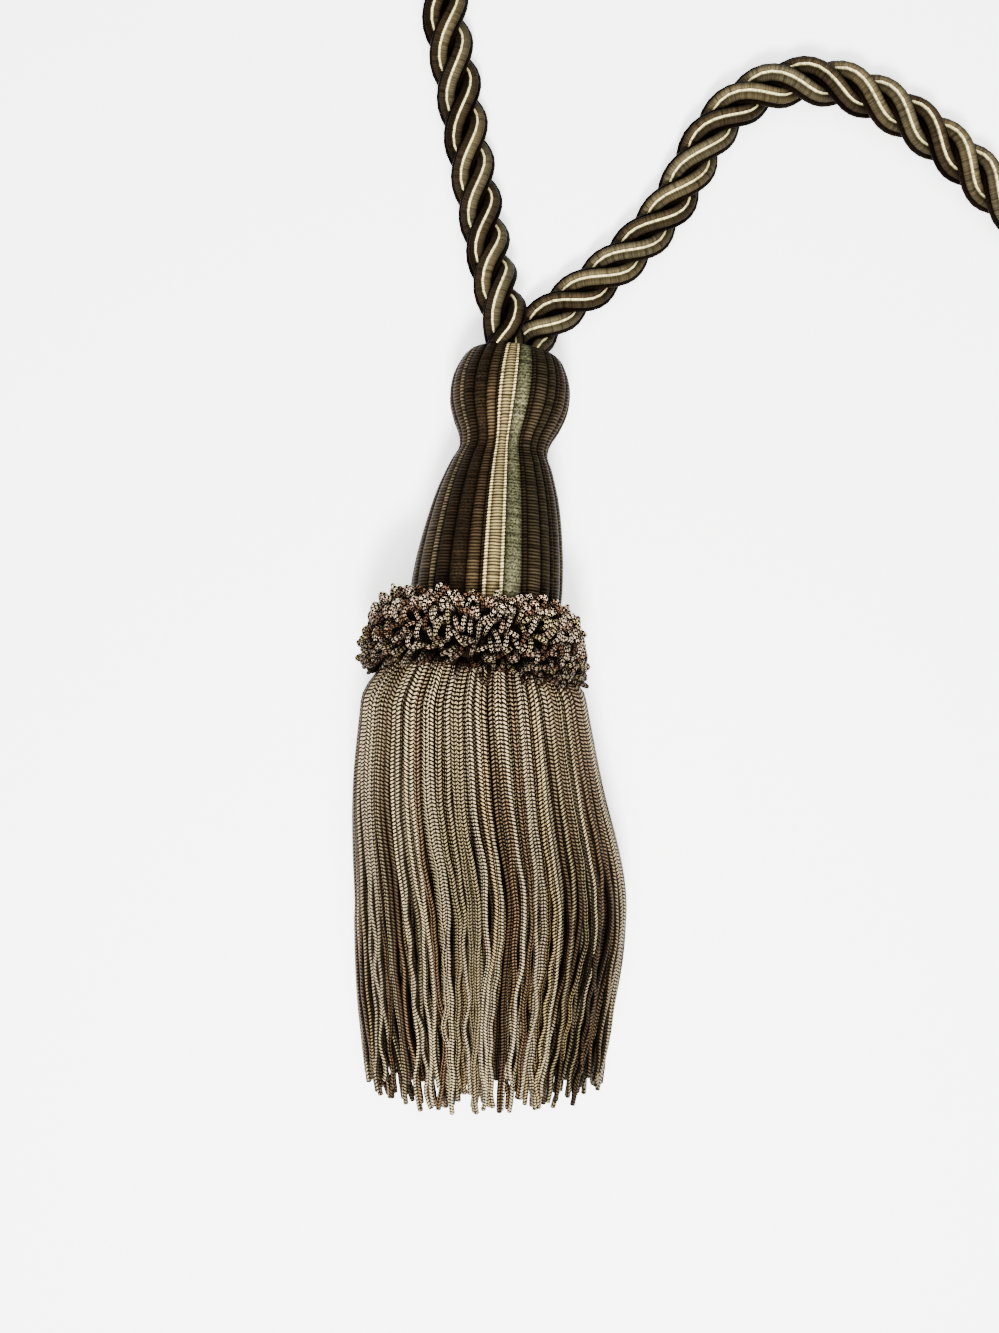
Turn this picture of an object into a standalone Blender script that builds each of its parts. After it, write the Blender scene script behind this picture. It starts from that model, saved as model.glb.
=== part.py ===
"""Curtain tieback tassel, lying on a table with its rope loop.

A turned head wound with gimp cord, a ruff of looped chainette, a skirt of
hanging chainette strands and a three-ply rope that leaves the head's top and
comes back into it. Metres, +Z up. The tassel lies along Y with its rope
towards +Y. The origin is on the table, under the middle of the tassel.
"""

import math

import bmesh
import bpy
import numpy as np
from mathutils import Matrix, Vector

MM = 0.001
TURN = 2 * math.pi
GAP = 0.3 * MM  # between pieces that meet

# ------------------------------------------------------------------ sizes
# The tassel's axis: where the head's top is, and how the head lies.
HEAD_TOP = Vector((4.5, 73.0, 9.4)) * MM
HEAD_YAW = math.radians(6.8)  # the foot lies this far towards -X
HEAD_PITCH = math.radians(9.6)  # the foot is this much higher than the top

# Head: the turned mould with its gimp cords, (depth below the top, radius).
HEAD_PROFILE = (
    (0.0, 6.8), (0.9, 8.7), (3.0, 10.1), (6.4, 11.2), (10.6, 11.2), (14.0, 10.1),
    (16.9, 8.7), (19.2, 8.4), (22.0, 9.6), (28.0, 11.6), (36.0, 13.2), (44.0, 14.1),
    (50.0, 14.1),
)  # fmt: skip
HEAD_LENGTH = 50.0 * MM
GIMP_CORDS = 26
GIMP_STEPS = 4  # points across one cord
GIMP_DEPTH = 0.6 * MM
GIMP_FULL_RADIUS = 8.0 * MM  # the grooves run out inside this radius

# Backing: the rolled fringe heading that carries the skirt, under the head.
BACKING_TOP = HEAD_LENGTH + GAP
BACKING_FOOT = 57.0 * MM
BACKING_TOP_RADIUS = 13.8 * MM
BACKING_FOOT_RADIUS = 16.3 * MM

# Ruff: closed section of the looped trim, (depth below the head's top, radius).
RUFF_PROFILE = (
    (46.4, 14.8), (46.2, 17.2), (48.6, 19.4), (51.2, 18.4), (53.8, 20.3), (56.6, 19.5),
    (59.4, 21.8), (62.2, 21.3), (62.0, 20.0), (57.0, 17.2), (50.2, 14.8),
)  # fmt: skip
RUFF_OUTSIDE = range(1, 8)  # section points that carry loops
RUFF_LOOPS = 34
RUFF_STEPS = 3  # points across one loop
RUFF_LOOP_DEPTH = 1.5 * MM
RUFF_RAGGED = 0.6 * MM
RUFF_SKEW = 0.06  # the loops stand this much further out towards -X

# Skirt: three rounds of strands. Each section is the outside of the heap of
# strands, at a distance along -Y from the backing's foot.
ROUNDS = 3
STRANDS_A_ROUND = 56
ROUND_PITCH = 1.75 * MM
ROOT_INSET = 0.2 * MM
STRAND_WIDTHS = (1.5 * MM, 1.35 * MM, 1.2 * MM)  # outer, middle, inner round
STRAND_THICKNESS = 1.3 * MM
SKIRT_SECTIONS = np.array(
    # along, left, right, bottom, top, height of the widest place as a share of the
    # heap's height, power that squares the heap's underside
    [
        (9.0, -24.2, 17.7, 2.5, 39.5, 0.5, 1.0),
        (25.0, -26.2, 21.0, 0.0, 36.2, 0.45, 0.7),
        (49.0, -26.6, 26.4, 0.0, 28.6, 0.4, 0.6),
        (69.0, -26.4, 24.6, 0.0, 20.6, 0.4, 0.55),
        (92.0, -24.8, 22.4, 0.0, 12.8, 0.4, 0.55),
    ]
)
SKIRT_LENGTH = 91.4 * MM
FIRST_BEND = 9.0 * MM  # where the strands come out from under the ruff
BENDS = (0.0, 0.19, 0.43, 0.7, 1.0)  # as shares of a strand's length past there
BEND_SPREAD = 0.05  # how unevenly the strands bend
RAGGED_ENDS = 7.0 * MM
SHORTER_BELOW = 6.0 * MM
ROUND_STAGGER = 0.5  # of a strand's pitch, from one round to the next
OUTLINE_POINTS = 721  # round a section of the heap
# Waves that draw neighbouring strands together and apart along the heap's outline:
# size as a share of the outline, waves round it, waves along the skirt, phase
CLUMPING = ((0.0045, 5, 0.7, 0.4), (0.003, 9, -0.9, 2.1))
TIP_SHARE = 0.5

# Rope: three plies, its route from the head and back into it.
ROPE_DIAMETER = 9.0 * MM
ROPE_PITCH = 22.5 * MM  # length of one full turn of a ply
ROPE_STEPS_A_TURN = 7
ROUTE_DETAIL = 40  # points read between two of the route's own
PLY_SHOULDER = math.radians(21)
PLY_VALLEY = 0.58  # valley between plies, of the rope's radius
ROPE_ENDS = ((2.7, -3.6), (-2.3, 3.5))  # across the head's top: sideways, up
ROPE_NECKING = 0.82  # share of the diameter left where the rope enters the head
NECKING_LENGTH = 9.0 * MM
ROPE_STRAIGHT = 4.0 * MM  # straight out of the head before the first bend
ROPE_ROUTE = (
    # from the head, right leg
    (11.4, 80.4, 5.2), (14.6, 82.9, 4.9), (18.6, 85.8, 4.7), (23.2, 89.6, 4.6),
    (27.8, 93.8, 4.6), (32.0, 98.5, 4.6), (35.4, 103.2, 4.6), (38.3, 108.6, 4.6),
    # arch above the tassel and down to the right
    (42.0, 115.0, 4.6), (48.0, 120.8, 4.6), (56.0, 124.0, 4.6), (64.6, 123.8, 4.6),
    (74.0, 120.4, 4.6), (82.8, 114.9, 4.6), (90.8, 108.6, 4.6), (97.0, 102.6, 4.6),
    # round to the far side of the loop
    (104.6, 97.2, 4.6), (115.0, 95.4, 4.6), (126.0, 99.6, 4.6), (133.6, 110.0, 4.6),
    (137.5, 125.0, 4.6), (139.2, 145.0, 4.6), (139.6, 165.0, 4.6), (138.0, 186.5, 4.6),
    (132.5, 208.0, 4.6), (121.5, 227.0, 4.6), (104.5, 240.5, 4.6), (84.0, 246.5, 4.6),
    (62.5, 245.0, 4.6), (42.5, 236.0, 4.6), (26.0, 221.5, 4.6), (13.0, 203.5, 4.6),
    (2.5, 183.0, 4.6), (-4.8, 162.0, 4.6),
    # left leg, back to the head
    (-8.8, 139.4, 4.6), (-6.4, 124.0, 4.6), (-3.7, 108.6, 4.7), (-1.9, 99.4, 5.4),
    (-0.4, 92.0, 7.0), (0.8, 86.0, 9.2),
)  # fmt: skip

# --------------------------------------------------------------- finishes
FINISHES = {
    # name: base colour, roughness
    "gimp": ((0.16, 0.12, 0.07, 1.0), 0.38),
    "chainette_loops": ((0.30, 0.23, 0.16, 1.0), 0.6),
    "chainette": ((0.48, 0.41, 0.31, 1.0), 0.55),
    "rope_plies": ((0.19, 0.15, 0.09, 1.0), 0.35),
}

# ------------------------------------------------------------- directions
DOWN_AXIS = Vector((
    -math.sin(HEAD_YAW) * math.cos(HEAD_PITCH),
    -math.cos(HEAD_YAW) * math.cos(HEAD_PITCH),
    math.sin(HEAD_PITCH),
))
SIDEWAYS = Vector((math.cos(HEAD_YAW), -math.sin(HEAD_YAW), 0.0))
UPWARDS = SIDEWAYS.cross(-DOWN_AXIS)


def head_frame(depth=0.0):
    """Matrix of the head's own frame at a depth on its axis.

    Its +Z runs to the rope, its +Y is up, and its +X is the tassel's left.
    """
    columns = Matrix((-SIDEWAYS, UPWARDS, -DOWN_AXIS)).transposed()
    place = HEAD_TOP + DOWN_AXIS * depth
    return Matrix.Translation(place) @ columns.to_4x4()


# ---------------------------------------------------------------- helpers
def clear_scene():
    for obj in list(bpy.data.objects):
        bpy.data.objects.remove(obj, do_unlink=True)


def new_collection(name):
    collection = bpy.data.collections.new(name)
    bpy.context.scene.collection.children.link(collection)
    return collection


def material(name):
    colour, roughness = FINISHES[name]
    mat = bpy.data.materials.new(name)
    mat.use_nodes = True
    shader = mat.node_tree.nodes["Principled BSDF"]
    shader.inputs["Base Color"].default_value = colour
    shader.inputs["Roughness"].default_value = roughness
    shader.inputs["Metallic"].default_value = 0.0
    return mat


def add_mesh_object(name, mesh, collection, mat):
    obj = bpy.data.objects.new(name, mesh)
    mesh.materials.clear()
    mesh.materials.append(mat)
    collection.objects.link(obj)
    return obj


def screwed(profile, steps, closed):
    """Turn a profile of (depth, radius) in millimetres once round Z."""
    points = [(radius * MM, 0.0, -depth * MM) for depth, radius in profile]
    edges = [(i, i + 1) for i in range(len(points) - 1)]
    if closed:
        edges.append((len(points) - 1, 0))
    mesh = bpy.data.meshes.new("profile")
    mesh.from_pydata(points, edges, [])
    obj = bpy.data.objects.new("profile", mesh)
    bpy.context.scene.collection.objects.link(obj)
    screw = obj.modifiers.new("screw", "SCREW")
    screw.steps = screw.render_steps = steps
    screw.use_merge_vertices = True
    screw.merge_threshold = 0.00001
    bpy.context.view_layer.update()
    graph = bpy.context.evaluated_depsgraph_get()
    turned = bpy.data.meshes.new_from_object(obj.evaluated_get(graph))
    bpy.data.objects.remove(obj, do_unlink=True)
    bpy.data.meshes.remove(mesh)
    return turned


def coordinates(mesh):
    flat = np.empty(len(mesh.vertices) * 3)
    mesh.vertices.foreach_get("co", flat)
    return flat.reshape(-1, 3)


def move_points(mesh, points):
    mesh.vertices.foreach_set("co", points.ravel())
    mesh.update()


def lay_on_table(mesh, frame):
    """Place a mesh by a frame, and flatten what would lie below the table."""
    mesh.transform(frame)
    points = coordinates(mesh)
    points[:, 2] = np.maximum(points[:, 2], 0.0)
    move_points(mesh, points)


# ------------------------------------------------------------------- head
def build_head(collection):
    """The turned form, drawn in along the grooves between its gimp cords."""
    outline = ((0.0, 0.0),) + HEAD_PROFILE + ((HEAD_LENGTH / MM, 0.0),)
    mesh = screwed(outline, GIMP_CORDS * GIMP_STEPS, closed=False)
    points = coordinates(mesh)
    radius = np.hypot(points[:, 0], points[:, 1])
    turn = np.arctan2(points[:, 1], points[:, 0]) / TURN
    across = np.abs(np.cos(math.pi * turn * GIMP_CORDS))
    slimmer = GIMP_DEPTH * across**2 * np.clip(radius / GIMP_FULL_RADIUS, 0.0, 1.0)
    points[:, :2] *= (1 - slimmer / np.maximum(radius, MM))[:, None]
    move_points(mesh, points)
    lay_on_table(mesh, head_frame())
    mesh.shade_smooth()
    return add_mesh_object("head", mesh, collection, material("gimp"))


# ------------------------------------------------------------------- ruff
def build_ruff(collection):
    """The trim's turned band, with three staggered rows of loops raised on it."""
    rng = np.random.default_rng(7)
    steps = RUFF_LOOPS * RUFF_STEPS
    mesh = screwed(RUFF_PROFILE, steps, closed=True)
    points = coordinates(mesh)
    radius = np.hypot(points[:, 0], points[:, 1])
    angle = np.arctan2(points[:, 1], points[:, 0]) % TURN
    step = np.rint(angle / TURN * steps).astype(int) % steps
    ragged = rng.uniform(-RUFF_RAGGED, RUFF_RAGGED, (len(RUFF_PROFILE), RUFF_LOOPS))
    for row in RUFF_OUTSIDE:
        depth, row_radius = RUFF_PROFILE[row]
        ring = np.isclose(-points[:, 2], depth * MM, atol=1e-5)
        ring &= np.isclose(radius, row_radius * MM, atol=1e-5)
        shifted = (step + row // 2) % steps
        groove = (shifted % RUFF_STEPS == 0) * RUFF_LOOP_DEPTH
        standing = ragged[row, shifted // RUFF_STEPS] - groove
        skew = row_radius * MM * RUFF_SKEW * (1 + np.cos(angle)) / 2
        scale = 1 + (standing + skew) / radius
        points[ring, :2] *= scale[ring, None]
    move_points(mesh, points)
    lay_on_table(mesh, head_frame())
    mesh.shade_smooth()
    return add_mesh_object("ruff", mesh, collection, material("chainette_loops"))


# ------------------------------------------------------------------ skirt
def read_smoothly(at, places, values):
    """Value at a place on a cubic Hermite curve through a table's rows."""
    slopes = np.gradient(values, places)
    at = np.clip(at, places[0], places[-1])
    row = np.clip(np.searchsorted(places, at) - 1, 0, len(places) - 2)
    step = places[row + 1] - places[row]
    t = (at - places[row]) / step
    return (
        values[row] * (1 + 2 * t) * (1 - t) ** 2
        + values[row + 1] * t**2 * (3 - 2 * t)
        + step * (slopes[row] * t * (1 - t) ** 2 - slopes[row + 1] * t**2 * (1 - t))
    )


def heap_outline(along, inset):
    """Dense closed outline (x, z) of the heap of strands, from its top round +X.

    The section's sizes are read from the table. The upper half is half an
    ellipse, the lower half has its cosine raised to a power, which flattens it.
    """
    columns = SKIRT_SECTIONS.T
    left, right, bottom, top, widest, power = (
        read_smoothly(along / MM, columns[0], column) for column in columns[1:]
    )
    inset = inset / MM
    phi = np.linspace(0, TURN, OUTLINE_POINTS)
    low, high = max(bottom, 0.0) + inset, top - inset
    waist = low + widest * (high - low)
    up = np.cos(phi)
    over = waist + (high - waist) * up
    under = waist - (waist - low) * np.abs(up) ** power
    x = (left + right) / 2 + ((right - left) / 2 - inset) * np.sin(phi)
    return np.column_stack([x, np.where(up > 0, over, under)]) * MM


def on_outline(outline, share):
    """The point at a share of an outline's length, and the tangent there."""
    steps = np.linalg.norm(np.diff(outline, axis=0), axis=1)
    length = np.concatenate([[0], np.cumsum(steps)])
    wanted = share * length[-1]
    before, point, after = (
        np.array([np.interp(place % length[-1], length, column) for column in outline.T])
        for place in (wanted - 0.5 * MM, wanted, wanted + 0.5 * MM)
    )
    tangent = after - before
    return point, tangent / np.linalg.norm(tangent)


def strand_lengths(rng, shares):
    """Uneven strands, and shorter ones under the tassel."""
    under = np.clip(-np.cos(TURN * shares), 0, 1) * SHORTER_BELOW
    return SKIRT_LENGTH - rng.uniform(0, RAGGED_ENDS, len(shares)) - under


def build_backing():
    """A cone's frustum, its foot divided into rounds of cells for the strands."""
    form = bmesh.new()
    form.faces.layers.int.new("strand")
    height = BACKING_FOOT - BACKING_TOP
    bmesh.ops.create_cone(
        form, cap_ends=True, cap_tris=False, segments=STRANDS_A_ROUND,
        radius1=BACKING_FOOT_RADIUS, radius2=BACKING_TOP_RADIUS, depth=height,
    )  # fmt: skip
    foot = min(form.faces, key=lambda face: face.calc_center_median().z)
    rounds = []
    for _ in range(ROUNDS):
        inset = bmesh.ops.inset_region(form, faces=[foot], thickness=ROUND_PITCH)
        rounds.append(inset["faces"])
    for cells in rounds:
        cells.sort(key=turn_from_top)
    cells = [cell for one_round in rounds for cell in one_round]
    bmesh.ops.inset_individual(form, faces=cells, thickness=ROOT_INSET)
    frame = head_frame((BACKING_TOP + BACKING_FOOT) / 2)
    bmesh.ops.transform(form, matrix=frame, verts=form.verts)
    return form, cells


def turn_from_top(cell):
    """Angle of a cell round the head's axis, from straight up to the tassel's right."""
    centre = cell.calc_center_median()
    return math.atan2(-centre.x, centre.y) % TURN


def corner_signs(cell, centre):
    """For each corner, on which side of the strand it lies: along and across."""
    spoke = centre - (HEAD_TOP + DOWN_AXIS * BACKING_FOOT)
    spoke.normalize()
    along = spoke.cross(DOWN_AXIS)
    signs = []
    for corner in cell.verts:
        arm = corner.co - centre
        signs.append((math.copysign(1, arm.dot(along)), math.copysign(1, arm.dot(spoke))))
    return signs


def clumped(shares, along):
    """Shares of the outline, moved by waves that grow towards the tips."""
    way = along / SKIRT_LENGTH
    moved = np.array(shares)
    for size, around, down, phase in CLUMPING:
        moved += size * way * np.sin(TURN * (around * shares + down * way) + phase)
    return moved


def strand_stops(rng, round_number):
    """Centres and tangents of a round's strands at each of their bends."""
    shares = (np.arange(STRANDS_A_ROUND) + 0.5) / STRANDS_A_ROUND
    lengths = strand_lengths(rng, shares)
    stagger = round_number % 2 * ROUND_STAGGER / STRANDS_A_ROUND
    inset = STRAND_THICKNESS / 2 + round_number * ROUND_PITCH
    stops = []
    for part_way in BENDS:
        spread = rng.uniform(-BEND_SPREAD, BEND_SPREAD, STRANDS_A_ROUND)
        free = np.clip(part_way + spread * (0 < part_way < 1), 0.0, 1.0)
        along = FIRST_BEND + (lengths - FIRST_BEND) * free
        places = [on_outline(heap_outline(distance, inset), share)
                  for distance, share in zip(along, clumped(shares + stagger, along))]
        stops.append((along, *np.array(places).transpose(1, 0, 2)))
    return stops


def extend_strands(form, faces, signs, stops, width):
    """Extrude each strand's end face to its next stops, and narrow its tip."""
    foot_y = (HEAD_TOP + DOWN_AXIS * BACKING_FOOT).y
    number_of = form.faces.layers.int["strand"]
    for index, face in enumerate(faces):
        face[number_of] = index
    for number, (along, points, tangents) in enumerate(stops):
        share = TIP_SHARE if number == len(stops) - 1 else 1.0
        faces = bmesh.ops.extrude_discrete_faces(form, faces=faces)["faces"]
        for face in faces:
            index = face[number_of]
            x, z = points[index]
            side = Vector((tangents[index][0], 0, tangents[index][1]))
            outward = Vector((-side.z, 0, side.x))
            centre = Vector((x, foot_y - along[index], z))
            for corner, (sign_side, sign_out) in zip(face.verts, signs[index]):
                corner.co = (centre + side * sign_side * width * share / 2
                             + outward * sign_out * STRAND_THICKNESS * share / 2)


def build_skirt(collection):
    rng = np.random.default_rng(11)
    form, cells = build_backing()
    for number, width in enumerate(STRAND_WIDTHS):
        first = number * STRANDS_A_ROUND
        faces = cells[first : first + STRANDS_A_ROUND]
        signs = [corner_signs(cell, cell.calc_center_median()) for cell in faces]
        extend_strands(form, faces, signs, strand_stops(rng, number), width)
    mesh = bpy.data.meshes.new("skirt")
    form.to_mesh(mesh)
    form.free()
    return add_mesh_object("skirt", mesh, collection, material("chainette"))


# ------------------------------------------------------------------- rope
def rope_end(across, upwards):
    """A place on the head's top, a gap above its face."""
    place = SIDEWAYS * across * MM + UPWARDS * upwards * MM
    return HEAD_TOP + place - DOWN_AXIS * GAP


def smooth_route(points, spacing):
    """Even points on a centripetal Catmull-Rom curve through a route's points."""
    points = np.array(points)
    before = 2 * points[0] - points[1]
    after = 2 * points[-1] - points[-2]
    knots = np.vstack([before, points, after])
    dense = []
    for p0, p1, p2, p3 in zip(knots, knots[1:], knots[2:], knots[3:]):
        t1 = np.linalg.norm(p1 - p0) ** 0.5
        t2 = t1 + np.linalg.norm(p2 - p1) ** 0.5
        t3 = t2 + np.linalg.norm(p3 - p2) ** 0.5
        t = np.linspace(t1, t2, ROUTE_DETAIL, endpoint=False)[:, None]
        a1 = (t1 - t) / t1 * p0 + t / t1 * p1
        a2 = (t2 - t) / (t2 - t1) * p1 + (t - t1) / (t2 - t1) * p2
        a3 = (t3 - t) / (t3 - t2) * p2 + (t - t2) / (t3 - t2) * p3
        b1 = (t2 - t) / t2 * a1 + t / t2 * a2
        b2 = (t3 - t) / (t3 - t1) * a2 + (t - t1) / (t3 - t1) * a3
        dense.append((t2 - t) / (t2 - t1) * b1 + (t - t1) / (t2 - t1) * b2)
    dense = np.vstack(dense + [points[-1:]])
    steps = np.linalg.norm(np.diff(dense, axis=0), axis=1)
    length = np.concatenate([[0], np.cumsum(steps)])
    wanted = np.linspace(0, length[-1], round(length[-1] / spacing) + 1)
    even = np.column_stack([np.interp(wanted, length, column) for column in dense.T])
    return even, wanted


def ply_outline():
    """The rope's section: two shoulders on each of three plies, and valleys."""
    radius = ROPE_DIAMETER / 2
    corners = []
    for ply in range(3):
        middle = ply * TURN / 3
        corners.append((radius, middle - PLY_SHOULDER))
        corners.append((radius, middle + PLY_SHOULDER))
        corners.append((radius * PLY_VALLEY, middle + TURN / 6))
    return [(r * math.cos(a), -r * math.sin(a)) for r, a in corners]


def poly_curve(name, points, cyclic):
    curve = bpy.data.curves.new(name, "CURVE")
    curve.dimensions = "3D"
    spline = curve.splines.new("POLY")
    spline.points.add(len(points) - 1)
    for point, place in zip(spline.points, points):
        point.co = (*place, 1.0)
    spline.use_cyclic_u = cyclic
    return curve


def build_rope(collection, guides):
    """The three-ply section, carried along the route and turned as the plies lie."""
    outline = [(x, y, 0.0) for x, y in ply_outline()]
    guide = bpy.data.objects.new("ply_outline", poly_curve("ply_outline", outline, True))
    guide.hide_render = True
    guide.display_type = "WIRE"
    guides.objects.link(guide)

    first, last = (rope_end(*place) for place in ROPE_ENDS)
    straight = -DOWN_AXIS * ROPE_STRAIGHT
    route = [first, first + straight]
    route += [Vector(place) * MM for place in ROPE_ROUTE]
    route += [last + straight, last]
    points, along = smooth_route(route, ROPE_PITCH / ROPE_STEPS_A_TURN)
    curve = poly_curve("rope", points, False)
    curve.bevel_mode = "OBJECT"
    curve.bevel_object = guide
    curve.use_fill_caps = True
    curve.twist_mode = "MINIMUM"
    to_end = np.minimum(along, along[-1] - along)
    girth = np.interp(to_end, (0.0, NECKING_LENGTH), (ROPE_NECKING, 1.0))
    for point, distance, share in zip(curve.splines[0].points, along, girth):
        point.tilt = TURN * distance / ROPE_PITCH
        point.radius = share
    obj = bpy.data.objects.new("rope", curve)
    curve.materials.append(material("rope_plies"))
    collection.objects.link(obj)
    return along[-1]


def main():
    clear_scene()
    tassel = new_collection("curtain_tieback_tassel")
    guides = new_collection("guides")
    build_head(tassel)
    build_ruff(tassel)
    build_skirt(tassel)
    length = build_rope(tassel, guides)
    print(f"rope {length:.3f} m")


main()
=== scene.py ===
# %% [markdown]
# # A curtain tieback tassel
#
# The object is a passementerie tassel: a turned wooden head wound with satin gimp
# cords, a ruff of little chainette loops round the head's foot, a skirt of hanging
# chainette strands, and a three-ply rope that leaves the top of the head in a loop
# and comes back into it. It lies on a pale table.
#
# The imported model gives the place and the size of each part. This script gives the
# looks: every yarn is made as a surface of its own, worked out with numpy.

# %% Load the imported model
import math

import bpy
import numpy as np
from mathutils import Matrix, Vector


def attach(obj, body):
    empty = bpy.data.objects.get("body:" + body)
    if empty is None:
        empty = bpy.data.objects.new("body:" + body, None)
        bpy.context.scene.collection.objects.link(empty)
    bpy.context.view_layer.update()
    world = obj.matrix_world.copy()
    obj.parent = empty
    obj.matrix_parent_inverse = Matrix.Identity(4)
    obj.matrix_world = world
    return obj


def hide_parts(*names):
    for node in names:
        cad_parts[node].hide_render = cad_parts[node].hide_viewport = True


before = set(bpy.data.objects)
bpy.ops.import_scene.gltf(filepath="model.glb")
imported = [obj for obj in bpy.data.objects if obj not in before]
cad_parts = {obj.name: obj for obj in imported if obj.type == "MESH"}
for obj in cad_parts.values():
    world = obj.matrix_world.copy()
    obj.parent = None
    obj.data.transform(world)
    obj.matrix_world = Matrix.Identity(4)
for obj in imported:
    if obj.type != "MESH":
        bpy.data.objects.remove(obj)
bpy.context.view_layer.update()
MM = 0.001
TURN = 2 * math.pi
print("nodes:", sorted(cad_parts))

# %% [markdown]
# ## The camera
#
# The photograph was taken from above, leaning by five degrees, from about 30 cm. The
# camera was fitted to known lengths in the picture: how large they look gave the
# distance, and how they change towards the top gave the lean.

# %% Camera
CAMERA_PLACE = (0.00155, 0.0394, 0.2988)
CAMERA_LEAN = math.radians(-5.11)
PICTURE_WIDTH = 36.0  # mm, as on film
CAMERA_LENS = 54.39  # mm, for that width
NEAREST_SEEN = 0.01

camera_data = bpy.data.cameras.new("camera")
camera_data.sensor_fit = "HORIZONTAL"
camera_data.sensor_width = PICTURE_WIDTH
camera_data.lens = CAMERA_LENS
camera_data.clip_start = NEAREST_SEEN
camera = bpy.data.objects.new("camera", camera_data)
camera.location = CAMERA_PLACE
camera.rotation_euler = (CAMERA_LEAN, 0.0, 0.0)
bpy.context.scene.collection.objects.link(camera)
bpy.context.scene.camera = camera
print("camera at", CAMERA_PLACE)

# %% [markdown]
# ## Tubes from arrays
#
# Rope plies, loops and strands are all tubes: an outline carried along a path. One
# function turns an array of rings into a mesh, for one tube or for hundreds at once.
# A modifier on a curve would also make a tube, but arrays let each ring have its own
# size, colour and place in the pattern, and stay quick with thousands of rings.

# %% Helpers: directions and tubes
def unit(vectors):
    """Each vector divided by its length."""
    return vectors / np.linalg.norm(vectors, axis=-1, keepdims=True)


def along_path(points):
    """Length along each path up to each of its points."""
    steps = np.linalg.norm(np.diff(points, axis=-2), axis=-1)
    start = np.zeros(steps.shape[:-1] + (1,))
    return np.concatenate([start, np.cumsum(steps, axis=-1)], axis=-1)


def directions(points, up):
    """Tangent = central difference; side = tangent x up; top = side x tangent."""
    tangent = unit(np.gradient(points, axis=-2))
    side = unit(np.cross(tangent, up))
    return tangent, side, np.cross(side, tangent)


def carried(points, side, top, across, height):
    """Rings: point + across * side + height * top, for each point of the outline."""
    return (
        points[..., None, :]
        + across[..., None] * side[..., None, :]
        + height[..., None] * top[..., None, :]
    )


def add_attribute(mesh, name, colours):
    """A colour for each vertex, kept under a name that a material reads."""
    attribute = mesh.attributes.new(name, "FLOAT_COLOR", "POINT")
    attribute.data.foreach_set("color", colours.astype(np.float32).ravel())


END_U = 0.375  # an end face takes its pattern from here, where a stitch has its crest


def tubes(name, rings, around, along, colours):
    """A mesh of closed tubes, from rings[tube, ring, side].

    Each face joins four neighbours, and an end is one many-sided face. Faces point
    outwards where the sides run anticlockwise for someone whom the path leads away
    from. The UV map holds (around, along): over the sides, and over the rings.
    """
    count, lengths, sides = rings.shape[:3]
    number = np.arange(count * lengths * sides).reshape(count, lengths, sides)
    beside = np.roll(number, -1, axis=2)
    quads = np.stack([number[:, :-1], number[:, 1:], beside[:, 1:], beside[:, :-1]], -1)
    quads = quads.reshape(-1, 4)
    ends = np.concatenate([number[:, 0], number[:, -1, ::-1]])
    corners = np.concatenate([quads.ravel(), ends.ravel()])
    starts = np.concatenate([
        np.arange(len(quads)) * 4,
        len(quads) * 4 + np.arange(len(ends)) * sides,
    ])
    mesh = bpy.data.meshes.new(name)
    mesh.vertices.add(number.size)
    mesh.vertices.foreach_set("co", rings.astype(np.float32).ravel())
    mesh.loops.add(len(corners))
    mesh.loops.foreach_set("vertex_index", corners.astype(np.int32))
    mesh.polygons.add(len(starts))
    mesh.polygons.foreach_set("loop_start", starts.astype(np.int32))
    mesh.polygons.foreach_set("use_smooth", np.ones(len(starts), dtype=bool))
    mesh.update(calc_edges=True)

    around = np.broadcast_to(around, (count, sides + 1))[:, None]
    u0 = np.broadcast_to(around[..., :-1], (count, lengths - 1, sides))
    u1 = np.broadcast_to(around[..., 1:], (count, lengths - 1, sides))
    v0 = np.broadcast_to(along[:, :-1, None], u0.shape)
    v1 = np.broadcast_to(along[:, 1:, None], u0.shape)
    quad_uv = np.stack([u0, v0, u0, v1, u1, v1, u1, v0], -1).reshape(-1, 2)
    end_v = np.concatenate([along[:, 0], along[:, -1]]).repeat(sides)
    end_uv = np.column_stack([np.full(len(end_v), END_U), end_v])
    layer = mesh.uv_layers.new(name="lay")
    layer.data.foreach_set("uv", np.vstack([quad_uv, end_uv]).astype(np.float32).ravel())
    for key, values in colours.items():
        add_attribute(mesh, key, np.broadcast_to(values, rings.shape[:3] + (4,)))
    return mesh


def add_piece(name, mesh, material, node):
    """A finished piece: it shows the material, stands in for a node, whose imported part it hides,
    and rides with the root.
    """
    obj = bpy.data.objects.new(name, mesh)
    bpy.context.scene.collection.objects.link(obj)
    mesh.materials.append(material)
    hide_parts(node)
    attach(obj, "root")
    triangles = sum(len(polygon.vertices) - 2 for polygon in mesh.polygons)
    print(f"{name}: {triangles} triangles")
    return obj


# %% [markdown]
# ## Shader arithmetic
#
# A pattern of threads is a formula, so a material reads best as a formula too. The
# node editor could hold the same formulas, but as a tangle of small boxes. The first
# class below wraps a socket, so that a sum, a product or a power of two of them adds
# its Math nodes. The second is a material, and all its other nodes come from one
# method.

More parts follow.
